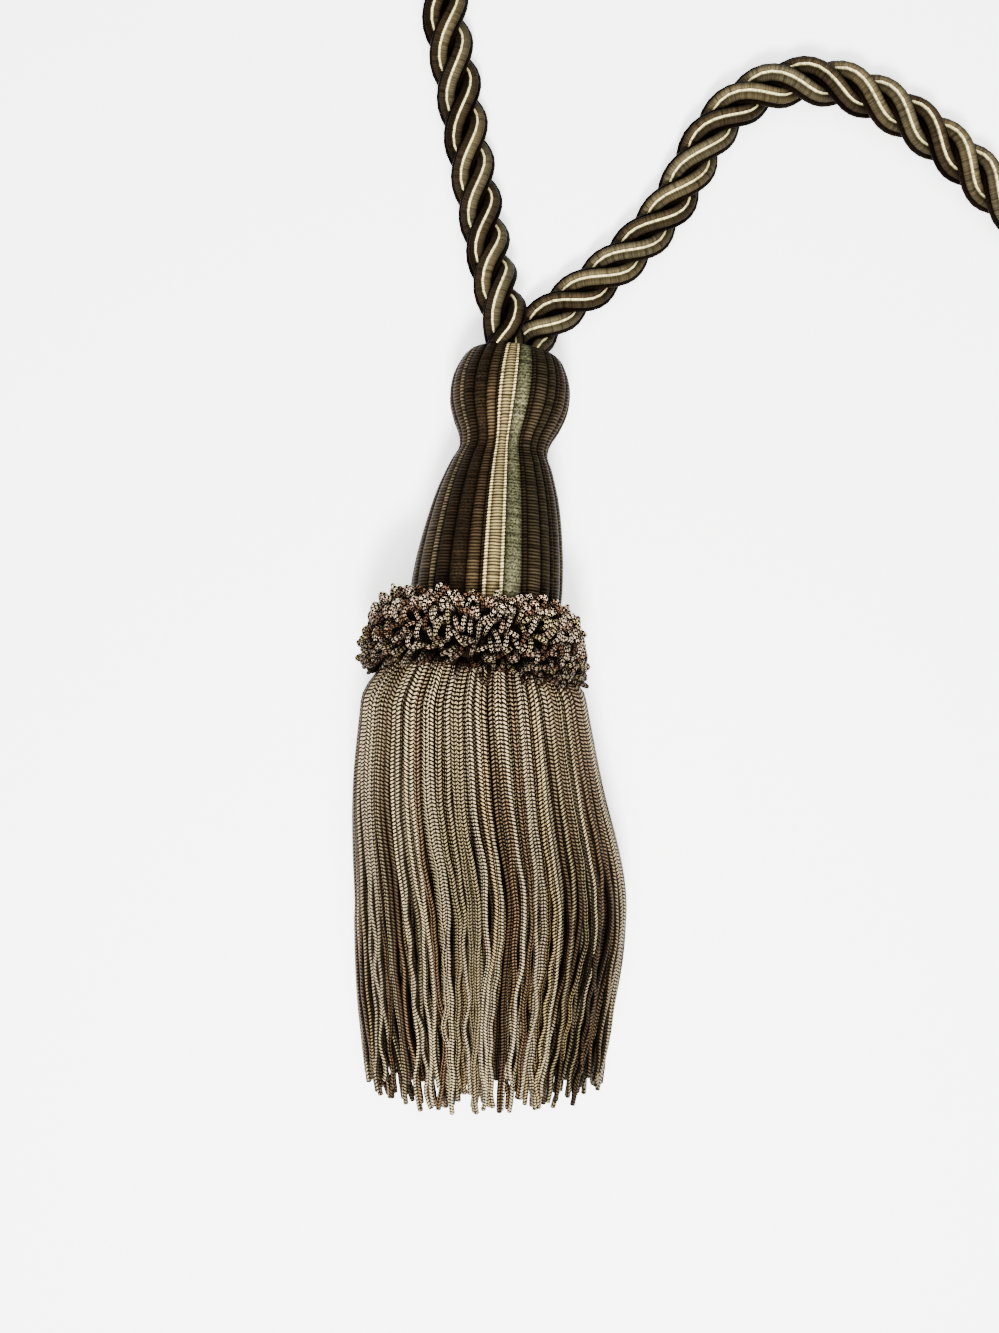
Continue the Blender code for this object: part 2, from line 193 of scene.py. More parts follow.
# %% Helpers: materials as expressions
class Value:
    """A socket of a material. Arithmetic on it adds Math nodes."""

    def __init__(self, material, socket):
        self.material = material
        self.socket = socket

    def math(self, operation, *values):
        """A Math node with the values on its sockets, in their order."""
        inputs = dict(enumerate(values))
        return self.material.node("ShaderNodeMath", {"operation": operation}, inputs)

    def __add__(self, other):
        return self.math("ADD", self, other)

    def __sub__(self, other):
        return self.math("SUBTRACT", self, other)

    def __rsub__(self, other):
        return self.math("SUBTRACT", other, self)

    def __mul__(self, other):
        return self.math("MULTIPLY", self, other)

    def __pow__(self, other):
        return self.math("POWER", self, other)

    __radd__ = __add__
    __rmul__ = __mul__

    def sin(self):
        return self.math("SINE", self)

    def absolute(self):
        return self.math("ABSOLUTE", self)

    def floor(self):
        return self.math("FLOOR", self)

    def fraction(self):
        return self.math("FRACT", self)

    def clamped(self):
        """Nothing below 0 or above 1."""
        return self.math("MINIMUM", self.math("MAXIMUM", self, 0.0), 1.0)


class Finish:
    """A material on a Principled shader. Its constants are set on the shader itself."""

    def __init__(self, name, **constants):
        self.data = bpy.data.materials.new(name)
        self.data.use_nodes = True
        self.tree = self.data.node_tree
        self.shader = self.tree.nodes["Principled BSDF"]
        for socket, value in constants.items():
            self.shader.inputs[socket.replace("_", " ")].default_value = value

    def put(self, socket, value):
        """Links a value to a socket, or sets the socket to a number or colour."""
        if isinstance(value, Value):
            self.tree.links.new(value.socket, socket)
        else:
            socket.default_value = value

    def node(self, kind, settings, inputs, output=0):
        """Any node: its settings first, then the values or links of its sockets."""
        made = self.tree.nodes.new(kind)
        for key, value in settings.items():
            setattr(made, key, value)
        for key, value in inputs.items():
            self.put(made.inputs[key], value)
        return Value(self, made.outputs[output])

    def feed(self, **sockets):
        """Values that change over the surface, into the shader's sockets."""
        for socket, value in sockets.items():
            self.put(self.shader.inputs[socket.replace("_", " ")], value)

    def mix(self, first, second, factor):
        """Two colours mixed: the Mix node's colour sockets are its seventh and eighth."""
        settings = {"data_type": "RGBA", "blend_type": "MIX"}
        return self.node("ShaderNodeMix", settings, {0: factor, 6: first, 7: second}, 2)

    def bump(self, height, distance):
        """A normal that leans as a surface raised by height * distance would."""
        inputs = {"Height": height, "Distance": distance, "Strength": 1.0}
        return self.node("ShaderNodeBump", {}, inputs)

    def noise(self, scale, detail=2.0):
        """Smooth noise about 0.5, with so many waves to the metre."""
        place = self.node("ShaderNodeTexCoord", {}, {}, "Object")
        inputs = {"Vector": place, "Scale": scale, "Detail": detail}
        return self.node("ShaderNodeTexNoise", {}, inputs, 0)

    def noise_of(self, number):
        """Noise that changes once for each unit of a number."""
        settings = {"noise_dimensions": "1D"}
        return self.node("ShaderNodeTexNoise", settings, {"W": number, "Scale": 1.0, "Detail": 1.0})

    def lay(self):
        """The two numbers of the piece's UV map: around the yarn and along it."""
        place = self.node("ShaderNodeUVMap", {"uv_map": "lay"}, {})
        return (
            self.node("ShaderNodeSeparateXYZ", {}, {0: place}, 0),
            self.node("ShaderNodeSeparateXYZ", {}, {0: place}, 1),
        )

    def colour_of(self, name):
        """A colour kept on the mesh, and its fourth number."""
        settings = {"attribute_type": "GEOMETRY", "attribute_name": name}
        return (
            self.node("ShaderNodeAttribute", settings, {}, "Color"),
            self.node("ShaderNodeAttribute", settings, {}, "Alpha"),
        )


# %% [markdown]
# ## Satin gimp
#
# Gimp is a core wound with rayon thread, so it shines in fine lines across its
# length. The lines are too fine for geometry, so they are a wave along the UV map's
# second number, used as a bump and as a change of colour, which is painted highlight
# on the turns and painted shade between them. An image of thread would repeat and
# blur. The colour of each cord is kept on the mesh, because neighbours differ, and the
# satin's broad shine is painted into that colour too, as highlight and shade: it stays
# in place however small the cord is in the picture.

# %% Gimp material
# The lamps make the table white, so a yarn keeps this share of the colour seen
EXPOSED = 0.56


def rgb(red, green, blue, share=EXPOSED, fourth=1.0):
    """A colour given as seen on a screen, 0 to 255, made linear, and a fourth number."""
    values = np.array([red, green, blue]) / 255
    linear = np.where(values <= 0.04045, values / 12.92, ((values + 0.055) / 1.055) ** 2.4)
    return np.append(linear * share, fourth)


SHADOW = rgb(6, 4, 2)  # between threads
WARM = (1.0, 0.82, 0.58, 1.0)  # rayon's shine takes some of its colour
# How the thread lies: its turns climb across a cord by the slant, and stray by the
# wander, both as shares of the distance from turn to turn
WRAP_SLANT = 0.3
WRAP_WANDER = 0.8
GLITTER_CONTRAST = 2.6
LINE_SHARPNESS = 1.5
# Painted highlight: how much the light varies in patches, and from turn to turn of each cord
PATCHES, TURNS, EVENLY = 0.9, 1.6, 0.45
NEXT_CORD = 37.0  # a step through the noise, so that neighbouring cords differ


def gimp_finish(name, contrast, depth):
    """Satin thread wound round a cord, one turn for each unit of the UV along it.

    A turn is a sine wave. The light is 1 on its crest and less, by the contrast, in
    its trough, times a part that varies in patches and from turn to turn: painted
    highlight and shade, mixed into the colour. The yarn colour's fourth number is 1
    where the turns show as a ladder of lines and 0 where the thread is rough and only
    glitters with painted glints.
    """
    finish = Finish(name, Roughness=0.33, Specular_IOR_Level=0.004, Specular_Tint=WARM)
    around, along = finish.lay()
    yarn, ladder = finish.colour_of("yarn")
    wander = finish.noise(300.0)
    line = ((along + around * WRAP_SLANT + wander * WRAP_WANDER) * TURN).sin() * 0.5 + 0.5
    glitter = ((finish.noise(3000.0, 1.0) - 0.5) * GLITTER_CONTRAST + 0.5).clamped()
    height = glitter + (line - glitter) * ladder
    patchy = finish.noise(260.0, 3.0)
    uneven = finish.noise_of(along * 0.7 + around.floor() * NEXT_CORD)
    varied = patchy * PATCHES + (uneven - 0.5) * TURNS + EVENLY
    light = (1 - contrast * (1 - height**LINE_SHARPNESS)) * varied
    finish.feed(
        Base_Color=finish.mix(SHADOW, yarn, light.clamped()),
        Normal=finish.bump(height, depth),
    )
    return finish.data


# %% [markdown]
# ## The rope
#
# Three plies are laid round each other. Each ply is a bundle of gimp cords: a thin
# cream one on the crest, with thick olive and brown ones beside it, and one ply in
# three is darker. A real rope is made by turning the plies one way and their cords
# the other, so that the cords lie nearly straight along the rope: a ply goes round
# the rope, but its crest stays up.
#
# Each cord could be a tube of its own, but neighbours are pressed together, so only
# a ply's outside is made. Its outline is the outer edge of a ring of circles. It is
# carried along the ply's own line, which winds round the rope's route. The route
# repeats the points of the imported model's rope.

# %% Rope: the route
HEAD_TOP = np.array([4.5, 73.0, 9.4]) * MM
HEAD_YAW = math.radians(6.8)
HEAD_PITCH = math.radians(9.6)
DOWN_AXIS = np.array([
    -math.sin(HEAD_YAW) * math.cos(HEAD_PITCH),
    -math.cos(HEAD_YAW) * math.cos(HEAD_PITCH),
    math.sin(HEAD_PITCH),
])
SIDEWAYS = np.array([math.cos(HEAD_YAW), -math.sin(HEAD_YAW), 0.0])
UPWARDS = np.cross(SIDEWAYS, -DOWN_AXIS)

ROPE_PITCH = 22.5 * MM
ROPE_ENDS = ((2.7, -3.6), (-2.3, 3.5))  # across the head's top: sideways, up
ROPE_STRAIGHT = 4.0 * MM
ROPE_SUNK = 3.0 * MM  # how far each end goes into the head
ROPE_STEP = 1.35 * MM
CURVE_STEPS = 40  # steps between two points of a smooth curve, before it is made even
ROPE_ROUTE = (
    # from the head, right leg
    (11.4, 80.4, 5.2), (14.6, 82.9, 4.9), (18.6, 85.8, 4.7), (23.2, 89.6, 4.6),
    (27.8, 93.8, 4.6), (32.0, 98.5, 4.6), (35.4, 103.2, 4.6), (38.3, 108.6, 4.6),
    # arch above the tassel and down to the right
    (42.0, 115.0, 4.6), (48.0, 120.8, 4.6), (56.0, 124.0, 4.6), (64.6, 123.8, 4.6),
    (74.0, 120.4, 4.6), (82.8, 114.9, 4.6), (90.8, 108.6, 4.6), (97.0, 102.6, 4.6),
    # round to the far side of the loop
    (104.6, 97.2, 4.6), (115.0, 95.4, 4.6), (126.0, 99.6, 4.6), (133.6, 110.0, 4.6),
    (137.5, 125.0, 4.6), (139.2, 145.0, 4.6), (139.6, 165.0, 4.6), (138.0, 186.5, 4.6),
    (132.5, 208.0, 4.6), (121.5, 227.0, 4.6), (104.5, 240.5, 4.6), (84.0, 246.5, 4.6),
    (62.5, 245.0, 4.6), (42.5, 236.0, 4.6), (26.0, 221.5, 4.6), (13.0, 203.5, 4.6),
    (2.5, 183.0, 4.6), (-4.8, 162.0, 4.6),
    # left leg, back to the head
    (-8.8, 139.4, 4.6), (-6.4, 124.0, 4.6), (-3.7, 108.6, 4.7), (-1.9, 99.4, 5.4),
    (-0.4, 92.0, 7.0), (0.8, 86.0, 9.2),
)


def smooth_route(points, step):
    """Even points on a centripetal Catmull-Rom curve through the given points.

    Between two points the curve blends straight lines through four neighbours, and
    its parameter grows with the square root of the distance between them.
    """
    ends = 2 * points[[0, -1]] - points[[1, -2]]
    knots = np.vstack([ends[:1], points, ends[1:]])
    apart = np.linalg.norm(np.diff(knots, axis=0), axis=1)
    times = np.concatenate([[0], np.cumsum(apart**0.5)])
    part = np.linspace(0, 1, CURVE_STEPS, endpoint=False)
    t0, t1, t2, t3 = (times[k : len(times) - 3 + k, None, None] for k in range(4))
    p0, p1, p2, p3 = (knots[k : len(knots) - 3 + k, None, :] for k in range(4))
    t = t1 + (t2 - t1) * part[None, :, None]
    a1 = ((t1 - t) * p0 + (t - t0) * p1) / (t1 - t0)
    a2 = ((t2 - t) * p1 + (t - t1) * p2) / (t2 - t1)
    a3 = ((t3 - t) * p2 + (t - t2) * p3) / (t3 - t2)
    b1 = ((t2 - t) * a1 + (t - t0) * a2) / (t2 - t0)
    b2 = ((t3 - t) * a2 + (t - t1) * a3) / (t3 - t1)
    dense = ((t2 - t) * b1 + (t - t1) * b2) / (t2 - t1)
    dense = np.vstack([dense.reshape(-1, 3), points[-1:]])
    length = along_path(dense)
    wanted = np.linspace(0, length[-1], round(length[-1] / step) + 1)
    return np.column_stack([np.interp(wanted, length, column) for column in dense.T])


def rope_end(sideways, upwards, out):
    """A place above the head's top face, out along its axis."""
    return HEAD_TOP + (SIDEWAYS * sideways + UPWARDS * upwards) * MM - DOWN_AXIS * out


first, last = ROPE_ENDS
route = [rope_end(*first, out) for out in (-ROPE_SUNK, 0.0, ROPE_STRAIGHT)]
route += [np.array(place) * MM for place in ROPE_ROUTE]
route += [rope_end(*last, out) for out in (ROPE_STRAIGHT, 0.0, -ROPE_SUNK)]
rope_line = smooth_route(np.array(route), ROPE_STEP)
rope_length = along_path(rope_line)
print(f"rope: {rope_length[-1]:.3f} m in {len(rope_line)} rings")

# %% Rope: colours and outline of a ply
CREAM = rgb(255, 238, 172, 0.88)
OLIVE = rgb(77, 68, 49)
BROWN = rgb(45, 36, 25)
# The umber cords lie where the plies meet: their near-black is partly their own colour and partly
# painted shade of the valleys
UMBER_AND_VALLEY_SHADE = rgb(24, 16, 10)

PLY_CENTRE = 2.5 * MM  # from the middle of the rope
PLY_RADIUS = 2.05 * MM
PLY_CORE = 1.5 * MM
# One ply's cords, from its crest anticlockwise: angle, radius in mm, colour on the leg
# that leaves the head, colour on the leg that comes back
PLY_CORDS = (
    (0, 0.23, CREAM, CREAM),
    (37, 0.66, OLIVE, OLIVE),
    (90, 0.63, UMBER_AND_VALLEY_SHADE, UMBER_AND_VALLEY_SHADE),
    (143, 0.66, OLIVE, BROWN),
    (180, 0.23, CREAM, CREAM),
    (217, 0.66, OLIVE, OLIVE),
    (270, 0.63, UMBER_AND_VALLEY_SHADE, UMBER_AND_VALLEY_SHADE),
    (323, 0.66, OLIVE, BROWN),
)
THIN_CORD = 0.3  # mm, the cords with a larger radius are thick
POINTS_A_CORD = 6
ROUND_A_PLY = 2880  # directions in which the outline is measured
# Painted light across each cord: shade in its grooves, a highlight on its crest
GROOVE = 0.05  # how bright it is in the groove between two cords
# Painted highlight: the shine of each cord, where its crest is (1 in the middle, less is
# nearer its start), and how bright its starting groove is. The cord after a cream one
# has a painted gleam beside it
SHINE_PLACE = np.array([1, 0.38, 1, 1.1, 1, 0.38, 1, 1.1])
SHINE_GROOVE = np.array([GROOVE, 0.7, GROOVE, GROOVE, GROOVE, 0.7, GROOVE, GROOVE])
BESIDE_CREAM = np.array([0, 1, 0, 0, 0, 1, 0, 0])
GLEAM_LEAVING, GLEAM_RETURNING = 2.4, 1.3
GLEAM_FALL = 4  # the power with which the gleam falls off across its cord
# The thick cords of each ply have their own tone: red, green, blue
PLY_TONES = np.array([(0.4, 0.36, 0.35), (0.95, 0.94, 0.88), (0.85, 0.88, 0.88)])


# Painted shade and highlight: dark in each cord's groove, bright on its crest
def painted_satin_light(step, groove=GROOVE):
    """Brightness across a cord: its groove at 0, then a hump 0.3 + 0.8 sin(pi step)."""
    return np.where(step == 0, groove, 0.3 + 0.8 * np.sin(math.pi * step))


def ply_outline():
    """Angle, radius, cord and place across the cord of each point of the outline.

    The outline is the outer edge of the circles. A ray at an angle d from a cord's
    centre, which lies at c, leaves its circle at c cos d + sqrt(r^2 - c^2 sin^2 d).
    The largest of these is the outline. Between two circles that don't quite touch,
    it is the ply's core. Each cord has the same number of points, evenly from groove
    to groove.
    """
    angles = np.radians([cord[0] for cord in PLY_CORDS])
    radii = np.array([cord[1] for cord in PLY_CORDS]) * MM
    centres = PLY_RADIUS - radii
    ray = np.linspace(0, TURN, ROUND_A_PLY + 1)[:-1]
    apart = (ray[:, None] - angles + math.pi) % TURN - math.pi
    room = radii**2 - (centres * np.sin(apart)) ** 2
    reach = centres * np.cos(apart) + np.sqrt(np.clip(room, 0, None))
    reach = np.where((room > 0) & (np.abs(apart) < math.pi / 2), reach, 0.0)
    owner = np.abs(apart / np.arcsin(radii / centres)).argmin(axis=1)
    grooves = ray[np.flatnonzero(owner != np.roll(owner, 1))]
    spans = np.append(grooves, grooves[0] + TURN)
    places = np.concatenate([
        np.linspace(start, stop, POINTS_A_CORD, endpoint=False)
        for start, stop in zip(spans, spans[1:])
    ]) % TURN
    edge = np.interp(places, ray, np.maximum(reach.max(axis=1), PLY_CORE), period=TURN)
    cord = owner[np.rint((places + 0.001) / TURN * len(ray)).astype(int) % len(ray)]
    across_cord = np.arange(len(places)) % POINTS_A_CORD / POINTS_A_CORD
    return places, edge, cord, across_cord


places, edge, cord_number, across_cord = ply_outline()
print("points round a ply:", len(places))

# %% Rope: the plies
NECKING_LENGTH = 9.0 * MM  # the rope is squeezed over this length at each end
ROPE_NECKING = 0.82
WRAP_PITCH = 0.42 * MM  # from turn to turn of the thread on a cord
# The cords' colours change over on the far side of the loop: where, and how slowly, as
# shares of the rope's length
CHANGE_AT, CHANGE_OVER = 0.52, 0.06
# Painted shade where plies meet: it is dark so near the rope's middle, and so far out
# from there until all light is back, in mm, and the light left
MEETING, TO_FULL_LIGHT, LEFT_THERE = 1.7, 2.3, 0.08

to_end = np.minimum(rope_length, rope_length[-1] - rope_length)
girth = np.interp(to_end, (0, NECKING_LENGTH), (ROPE_NECKING, 1.0))
_, rope_side, rope_top = directions(rope_line, (0, 0, 1))
turn = np.arange(3)[:, None] * TURN / 3 - TURN * rope_length / ROPE_PITCH
ply_line = (
    rope_line
    + (girth * np.cos(turn) * PLY_CENTRE)[..., None] * rope_side
    + (girth * np.sin(turn) * PLY_CENTRE)[..., None] * rope_top
)
_, ply_side, ply_top = directions(ply_line, rope_top)
three = np.ones((3, 1, 1))
across = -np.sin(places) * edge * girth[:, None] * three
height = np.cos(places) * edge * girth[:, None] * three
rings = carried(ply_line, ply_side, ply_top, across, height)
print("rings of the three plies:", rings.shape)

# %% Rope: the cords' colours and the mesh
leaving, returning = (
    np.array([cord[column] for cord in PLY_CORDS])[cord_number] for column in (2, 3)
)
swap = np.clip((rope_length / rope_length[-1] - CHANGE_AT) / CHANGE_OVER, 0, 1)[:, None]
yarn = leaving * (1 - swap[..., None]) + returning * swap[..., None]
gleam = (GLEAM_LEAVING * (1 - swap) + GLEAM_RETURNING * swap) * BESIDE_CREAM[cord_number]
# Painted highlight and shade across each cord, and a painted gleam beside the cream ones
shine = painted_satin_light(across_cord ** SHINE_PLACE[cord_number], SHINE_GROOVE[cord_number])
shine = shine + gleam * (1 - across_cord) ** GLEAM_FALL
# Painted shade: the plies darken towards the rope's middle, where they meet
from_axis = np.linalg.norm(rings - rope_line[:, None], axis=-1) / MM
painted_ply_shade = np.clip((from_axis - MEETING) / TO_FULL_LIGHT, LEFT_THERE, 1)
yarn = yarn * (shine * painted_ply_shade)[..., None]
thick = np.array([cord[1] > THIN_CORD for cord in PLY_CORDS])[cord_number]
yarn[..., :3] *= np.where(thick[:, None], PLY_TONES[:, None, None], 1.0)
yarn[..., 3] = 1.0
steps_round = np.append(np.arange(len(places)) / POINTS_A_CORD, len(PLY_CORDS))
rope_mesh = tubes(
    "rope_plies", rings, steps_round, along_path(ply_line) / WRAP_PITCH, {"yarn": yarn}
)
rope_finish = gimp_finish("satin_rope_gimp", contrast=0.35, depth=0.05 * MM)
rope = add_piece("rope_plies", rope_mesh, rope_finish, "rope")
tuple(rope_end(*first, 0.0))

# %% [markdown]
# ## The head
#
# The mould is turned in wood: a ball, a neck and a bell. Gimp cords of unlike width
# and colour run down it side by side, each wound with thread, and a thin cream one
# lies on each side of the gold one. The cords cover the wood, so the surface is one
# grid, rings down the outline and points round it, with each cord a rounded rib. The
# turns of its thread are the same bump as on the rope, only wider apart.

# %% Head: the outline and the cords
HEAD_PROFILE = np.array([
    # depth below the top, radius
    (0.0, 0.5), (0.0, 6.6), (0.9, 8.7), (3.0, 10.1), (6.4, 11.2), (10.6, 11.2),
    (14.0, 10.1), (16.9, 8.7), (19.2, 8.4), (22.0, 9.6), (28.0, 11.6), (36.0, 13.2),
    (44.0, 14.1), (50.0, 14.1), (50.0, 0.5),
]) * MM
CREAM_GIMP = rgb(255, 232, 165, 0.95)
GOLD = rgb(188, 166, 112)
GREEN_GOLD = rgb(110, 110, 80)
# Painted highlight: the green gold as it looks where it turns to the light
PAINTED_LIT_GREEN_GOLD = rgb(146, 142, 106)
BLACKISH = rgb(47, 36, 25)
# Brownish and tan are cords' own colours, and also stand as painted highlight for darker cords that
# turn to the light
BROWNISH = rgb(57, 45, 31)
DARK_OLIVE = rgb(56, 48, 33)
TAN = rgb(82, 69, 50)
LIGHT_TAN = rgb(114, 99, 74)
AMBER = rgb(64, 50, 34)
# Painted highlight: the amber as it looks where it turns to the light
PAINTED_LIT_AMBER = rgb(112, 92, 63)
# Half a turn of cords, from the tassel's left round its front: width in degrees,
# colour, a lighter colour painted where the cord turns to the light as a painted
# highlight, and 1 for a ladder of thread or 0 for a glitter
HEAD_CORDS = (
    (16, TAN, TAN, 1.0), (17, TAN, TAN, 1.0), (5.5, LIGHT_TAN, LIGHT_TAN, 1.0),
    (13.5, BLACKISH, BLACKISH, 1.0), (14, BLACKISH, BROWNISH, 0.5),
    (10.5, AMBER, PAINTED_LIT_AMBER, 0.8), (2.5, BLACKISH, BLACKISH, 1.0),
    (3, CREAM_GIMP, CREAM_GIMP, 0.9), (9.5, GOLD, GOLD, 0.9), (3, CREAM_GIMP, CREAM_GIMP, 0.9),
    (14.5, GREEN_GOLD, PAINTED_LIT_GREEN_GOLD, 0.3), (4.5, BLACKISH, BLACKISH, 1.0),
    (14, DARK_OLIVE, TAN, 0.9), (11, DARK_OLIVE, DARK_OLIVE, 0.7), (4, BLACKISH, BLACKISH, 1.0),
    (15, BROWNISH, TAN, 1.0), (12, TAN, TAN, 1.0), (10, BROWNISH, BROWNISH, 1.0),
)
# Depth below the top in mm, and how far the cords turn to the light there: so much of
# the lighter colour is painted in, as painted light
PAINTED_LIGHT_BY_DEPTH = (
    (0, 0.0), (7, 0.1), (12, 0.8), (16, 1.0), (19, 0.3), (26, 0.0), (38, 0.2), (48, 1.0),
)
HEAD_TWIST = math.radians(8)  # the cords run round by this much from the neck to the foot
NECK_DEPTH, BELL_LENGTH = 19, 31  # mm
HEAD_RINGS = 260
HEAD_STEPS = 7  # points across a cord
RIB_DEPTH = 0.55 * MM
RIB_ROUNDNESS = 0.9  # a narrow cord stands out by this share of half its width at most
RIBS_FULL_FROM = 8 * MM  # nearer the axis, on the end faces, the ribs die out
HEAD_WRAP = 0.6 * MM  # from turn to turn of the thread on a cord
PROFILE_STEP = 0.05 * MM


def smooth_profile(profile, count):
    """Even points on a smooth curve through an outline, and the length up to each.

    The first and the last stretch, its end faces, stay flat.
    """
    body = np.column_stack([profile[1:-1], np.zeros(len(profile) - 2)])
    curve = smooth_route(body, PROFILE_STEP)[:, :2]
    whole = np.vstack([profile[:1], curve, profile[-1:]])
    length = along_path(whole)
    wanted = np.linspace(0, length[-1], count)
    return np.column_stack([np.interp(wanted, length, column) for column in whole.T]), wanted


head_profile, head_along = smooth_profile(HEAD_PROFILE, HEAD_RINGS)
widths = np.array([cord[0] for cord in HEAD_CORDS] * 2, dtype=float)
widths *= 360 / widths.sum()
edges = np.concatenate([[0], np.cumsum(widths)])
step = np.arange(HEAD_STEPS) / HEAD_STEPS
angle = np.radians((edges[:-1, None] + widths[:, None] * step).ravel())
within = np.tile(step, len(widths))
print("cords round the head:", len(widths), "points:", len(angle))

# %% Head: the surface
depth, radius = head_profile[:, 0, None], head_profile[:, 1, None]
rib = np.sqrt(np.clip(1 - (2 * within - 1) ** 2, 0, 1))
wide = np.radians(widths).repeat(HEAD_STEPS) * np.maximum(radius, MM) / 2
covered = np.clip(radius / RIBS_FULL_FROM, 0, 1)
standing = radius + covered * np.minimum(RIB_DEPTH, wide * RIB_ROUNDNESS) * (rib - 1)
# the cords start at the tassel's left: angle 0 is there, and the front is up
turned = angle + HEAD_TWIST * np.clip((depth / MM - NECK_DEPTH) / BELL_LENGTH, 0, 1)
head_points = (
    HEAD_TOP
    + depth[..., None] * DOWN_AXIS
    - (standing * np.cos(turned))[..., None] * SIDEWAYS
    + (standing * np.sin(turned))[..., None] * UPWARDS
)
head_points[..., 2] = np.maximum(head_points[..., 2], 0.0)
print("rings down the head:", len(head_points))

# %% Head: the cords' colours and the mesh
painted_lit_share = np.interp(depth / MM, *np.array(PAINTED_LIGHT_BY_DEPTH).T)[..., None]
away, towards = (
    np.array([cord[column] for cord in HEAD_CORDS] * 2).repeat(HEAD_STEPS, axis=0)
    for column in (1, 2)
)
# Painted light: each cord goes over to its lit colour with depth, and gets a painted highlight on
# its crest and painted shade in its grooves
head_yarn = away * (1 - painted_lit_share) + towards * painted_lit_share
head_yarn = head_yarn * painted_satin_light(within)[:, None]
head_yarn[..., 3] = np.array([cord[3] for cord in HEAD_CORDS] * 2).repeat(HEAD_STEPS)
around = np.append(np.arange(len(angle)) / HEAD_STEPS, len(widths))
head_mesh = tubes(
    "head_gimp", head_points[None], around, head_along[None] / HEAD_WRAP, {"yarn": head_yarn[None]}
)
head_finish = gimp_finish("satin_head_gimp", contrast=0.95, depth=0.12 * MM)
add_piece("head_gimp", head_mesh, head_finish, "head")

# %% [markdown]
# ## Chainette
#
# Chainette is a thin tube knitted from rayon, a cord that is soft and heavy enough to
# hang well. Seen close it is pairs of small slanting stitches: light where a stitch
# stands out and dark all round it. Real stitches would take millions of faces, so
# they are a pattern, and their light and dark are painted: a painted highlight on
# each stitch, and round it painted shade that is partly the yarn's own darker colour.
# The pattern is a wave along the yarn that lags towards the edges of each column of
# stitches, which bends the rows into Vs.

# %% Chainette material
STITCH = 0.73 * MM  # from row to row on the skirt's strands
LOOP_STITCH = 0.6 * MM  # and on the ruff's loops
STITCH_WANDER = 0.5
STITCH_LEVEL, STITCH_CONTRAST = 0.4, 2.2  # a stitch is lighter than the yarn above the level
FLECKS, FADING = 0.9, 0.5  # how much fine flecks and long faded stretches change it
FULLNESS, THINNEST = 0.8, 0.2
DARK_SHARE = 2.4  # a power above 1 leaves more of the yarn dark


def chainette_finish(name, columns, slant, squareness, depth):
    """Pairs of slanting stitches that meet in a V, in so many columns round the yarn.

    A stitch is a sine wave along the yarn that lags from a column's middle to its
    edges by the slant, times a hump that is nothing at the middle and at the edges.
    With m from 0 at the middle to 1 at the edges, the hump is 1 - |2m - 1|^squareness:
    near 1 a stitch is a dot, and above it is broader, with sharp borders. The yarn
    colour's fourth number is the contrast between its stitches and its gaps, and the
    gap colour's is how full the stitches are: thin beads (0) or a whole surface (1).
    """
    finish = Finish(name, Roughness=0.36, Specular_IOR_Level=0.015, Specular_Tint=WARM)
    around, along = finish.lay()
    yarn, contrast = finish.colour_of("yarn")
    gap, full = finish.colour_of("gap")
    from_middle = ((around * columns).fraction() - 0.5).absolute() * 2.0
    wander = finish.noise(400.0)
    row = ((along + from_middle * slant + wander * STITCH_WANDER) * TURN).sin() * 0.5 + 0.5
    hump = 1 - (from_middle * 2.0 - 1.0).absolute() ** squareness
    stitch = row * hump
    patchy = finish.noise(900.0, 3.0)
    faded = finish.noise(55.0, 1.0)
    light = (stitch - STITCH_LEVEL) * contrast * STITCH_CONTRAST
    light = light + (patchy - 0.5) * FLECKS + faded * FADING
    light = light + full * FULLNESS - THINNEST
    finish.feed(
        Base_Color=finish.mix(gap, yarn, light.clamped() ** DARK_SHARE),
        Normal=finish.bump(stitch, depth),
    )
    return finish.data


# %% [markdown]
# ## The ruff
#
# The ruff is a trim with rows of uncut loops, sewn round the foot of the head so that
# the loops stand out in all directions and hide the join. Each loop is half an
# ellipse of chainette with both feet in the band. A table gives each row its place
# and its lean, and chance gives each loop its own size, turn and tilt. One loop
# copied by a particle system would show its repeats. All loops are one array. Shade
# is painted: a loop is dark at its feet, because no light gets down between them,
# and the lower rows are painted darker, the upper ones lighter.

# %% Ruff: the rows of loops
# One row each: depth of the feet below the head's top, radius there, number of loops,
# length, gap between the feet, all in mm; lean from straight out (towards the rope is
# positive) and turn (0 is a loop across the tassel, 90 one along it) in degrees;
# brightness, which is painted light and shade: the lower rows lie in shade
RUFF_ROWS = (
    (50.2, 14.7, 84, 2.2, 1.3, 64, 0, 1.7),
    (51.0, 15.8, 86, 2.4, 1.3, 40, 20, 1.45),
    (52.2, 16.6, 86, 2.4, 1.5, 20, 60, 1.0),
    (54.0, 16.8, 80, 2.5, 2.4, 4, 90, 0.7),
    (56.4, 17.2, 80, 2.5, 2.4, -4, 90, 0.6),
    (57.8, 17.5, 84, 2.8, 1.4, -18, 40, 0.45),
    (59.1, 17.5, 84, 2.9, 1.4, -32, 20, 0.24),
    (60.2, 17.2, 80, 2.8, 1.4, -46, 30, 0.16),
)
LOOP_YARN = 0.40 * MM  # radius
LOOP_RINGS = 14
YARN_SIDES = 8
RUFF_SKEW = 0.09  # the loops stand this much further out on the tassel's left
# Chance: how far a foot strays, as a share of the way to the next and in mm of depth,
# and how far the lean and the turn do, in degrees
STRAY_ROUND, STRAY_DOWN = 0.35, 0.5
STRAY_LEAN, STRAY_TURN = 18, 34
# The least and the most length and gap, as shares of the row's own
LOOP_LENGTHS, FEET_GAPS = (0.75, 1.2), (0.8, 1.2)


